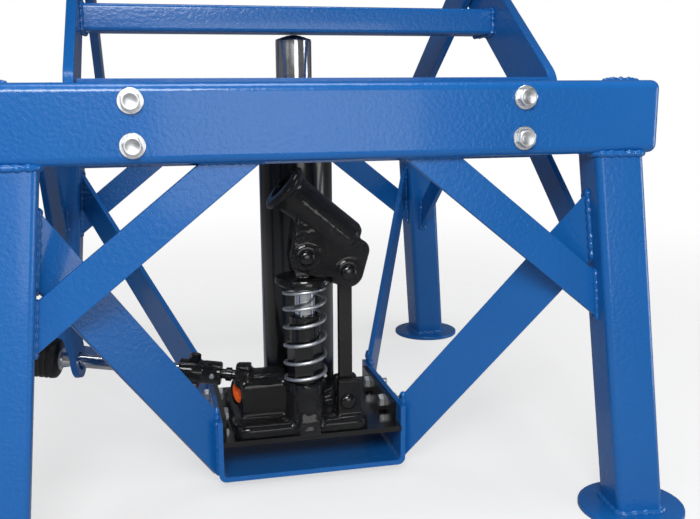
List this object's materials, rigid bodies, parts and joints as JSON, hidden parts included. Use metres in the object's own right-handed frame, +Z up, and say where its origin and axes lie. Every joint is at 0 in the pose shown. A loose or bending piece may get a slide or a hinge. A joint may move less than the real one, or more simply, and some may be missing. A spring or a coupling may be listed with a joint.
{
  "type": "hydraulic scissor lift stand",
  "caption": "Tube-frame lift stand with crossed arms, a level platform with rubber pads, and a hand-pumped bottle jack in a hanging cradle below.",
  "frame": {"origin": "on the floor, under the middle of the base ring", "axes": "+Z up, +Y from the pump side to the back, +X to the right seen from the pump side"},
  "size_m": [0.528, 0.5778, 0.5358],
  "materials": {
    "blue_paint": "glossy powder coat",
    "black_paint": "gloss enamel over casting",
    "bare_steel": "machined",
    "chrome": "polished",
    "zinc": "zinc plated",
    "roller_nylon": "satin",
    "rubber": "matte",
    "knob_rubber": "satin",
    "orange_plastic": "satin"
  },
  "bodies": {
    "stand": {"front_rail": "blue_paint", "rear_rail": "blue_paint", "side_rails": "blue_paint", "leg_front_left": "blue_paint", "leg_front_right": "blue_paint", "leg_rear_left": "blue_paint", "leg_rear_right": "blue_paint", "foot_discs": "blue_paint", "front_braces": "blue_paint", "rear_braces": "blue_paint", "left_braces": "blue_paint", "right_braces": "blue_paint", "front_straps": "blue_paint", "rear_straps": "blue_paint", "cradle": "blue_paint", "jack_plate": "black_paint", "cradle_bolts": "zinc", "rod_hanger": "blue_paint", "pivot_carrier": "blue_paint", "carrier_bolts": "zinc", "carrier_nuts": "zinc", "roller_tracks": "blue_paint", "lower_pivot_pins": "zinc", "jack_base": "black_paint", "jack_reservoir": "black_paint", "pressure_cylinder": "bare_steel", "jack_top_nut": "black_paint", "pump_gland": "black_paint", "pump_spring": "zinc", "link_foot_pin": "black_paint", "release_plug": "orange_plastic"},
    "front_arms": {"front_arm_left": "blue_paint", "front_arm_right": "blue_paint", "lift_beam": "blue_paint", "centre_pins": "zinc", "top_roller_axles": "zinc"},
    "rear_arms": {"rear_arm_left": "blue_paint", "rear_arm_right": "blue_paint", "rear_tie_tube": "blue_paint", "lower_roller_axles": "zinc", "platform_hinge_pins": "zinc"},
    "platform": {"platform_bars": "blue_paint", "platform_channels": "blue_paint", "platform_pads": "rubber"},
    "lower_left_roller": {"lower_roller_left": "roller_nylon"},
    "lower_right_roller": {"lower_roller_right": "roller_nylon"},
    "top_left_roller": {"top_roller_left": "roller_nylon"},
    "top_right_roller": {"top_roller_right": "roller_nylon"},
    "ram": {"jack_ram": "chrome", "ram_saddle": "chrome"},
    "pump_rocker": {"handle_socket": "black_paint", "socket_pins": "black_paint"},
    "pump_link": {"link_bar": "black_paint"},
    "pump_plunger": {"pump_piston": "chrome", "spring_cap": "black_paint"},
    "release_valve": {"release_stem": "black_paint", "release_coupling": "black_paint", "coupling_bolt": "black_paint", "release_rod": "chrome", "release_knob": "knob_rubber"}
  },
  "joints": [
    {"name": "scissor_lift", "type": "hinge", "parent": "stand", "child": "front_arms", "pos_m": [0, -0.1936, 0.3093], "axis": [1, 0, 0], "range_deg": [-21.2, 17.8]},
    {"name": "arm_crossing", "type": "hinge", "parent": "front_arms", "child": "rear_arms", "pos_m": [0, -0.05721, 0.40304], "axis": [1, 0, 0], "range_deg": [-35.7, 42.5]},
    {"name": "platform_level", "type": "hinge", "parent": "rear_arms", "child": "platform", "pos_m": [0, -0.1936, 0.49678], "axis": [1, 0, 0], "range_deg": [-21.3, 17.9]},
    {"name": "lower_left_roller_spin", "type": "hinge", "parent": "rear_arms", "child": "lower_left_roller", "pos_m": [-0.183, 0.07919, 0.3093], "axis": [1, 0, 0], "continuous": true},
    {"name": "top_left_roller_spin", "type": "hinge", "parent": "front_arms", "child": "top_left_roller", "pos_m": [-0.183, 0.07919, 0.49678], "axis": [1, 0, 0], "continuous": true},
    {"name": "lower_right_roller_spin", "type": "hinge", "parent": "rear_arms", "child": "lower_right_roller", "pos_m": [0.183, 0.07919, 0.3093], "axis": [1, 0, 0], "continuous": true},
    {"name": "top_right_roller_spin", "type": "hinge", "parent": "front_arms", "child": "top_right_roller", "pos_m": [0.183, 0.07919, 0.49678], "axis": [1, 0, 0], "continuous": true},
    {"name": "ram_slide", "type": "slide", "parent": "stand", "child": "ram", "axis": [0, 0, 1], "range_m": [-0.0413, 0.0347]},
    {"name": "handle_stroke", "type": "hinge", "parent": "pump_link", "child": "pump_rocker", "pos_m": [0.029, -0.141, 0.173], "axis": [0, -1, 0], "range_deg": [0, 32]},
    {"name": "link_swing", "type": "hinge", "parent": "stand", "child": "pump_link", "pos_m": [0.029, -0.141, 0.066], "axis": [0, 1, 0], "range_deg": [0, 1.5]},
    {"name": "plunger_slide", "type": "slide", "parent": "stand", "child": "pump_plunger", "axis": [0, 0, 1], "range_m": [-0.0196, 0], "deforming": ["pump_spring"]},
    {"name": "release_turn", "type": "hinge", "parent": "stand", "child": "release_valve", "pos_m": [-0.057, -0.12, 0.086], "axis": [-0.9743, 0.1947, 0.1132], "range_deg": [0, 360]}
  ],
  "couplings": [
    {"joint": "arm_crossing", "follows": "scissor_lift", "ratio": -2},
    {"joint": "platform_level", "follows": "scissor_lift", "ratio": 1},
    {"joint": "ram_slide", "follows": "scissor_lift", "m_per_rad": 0.1112},
    {"joint": "link_swing", "follows": "handle_stroke", "ratio": 0.0435},
    {"joint": "plunger_slide", "follows": "handle_stroke", "m_per_rad": -0.0349}
  ]
}
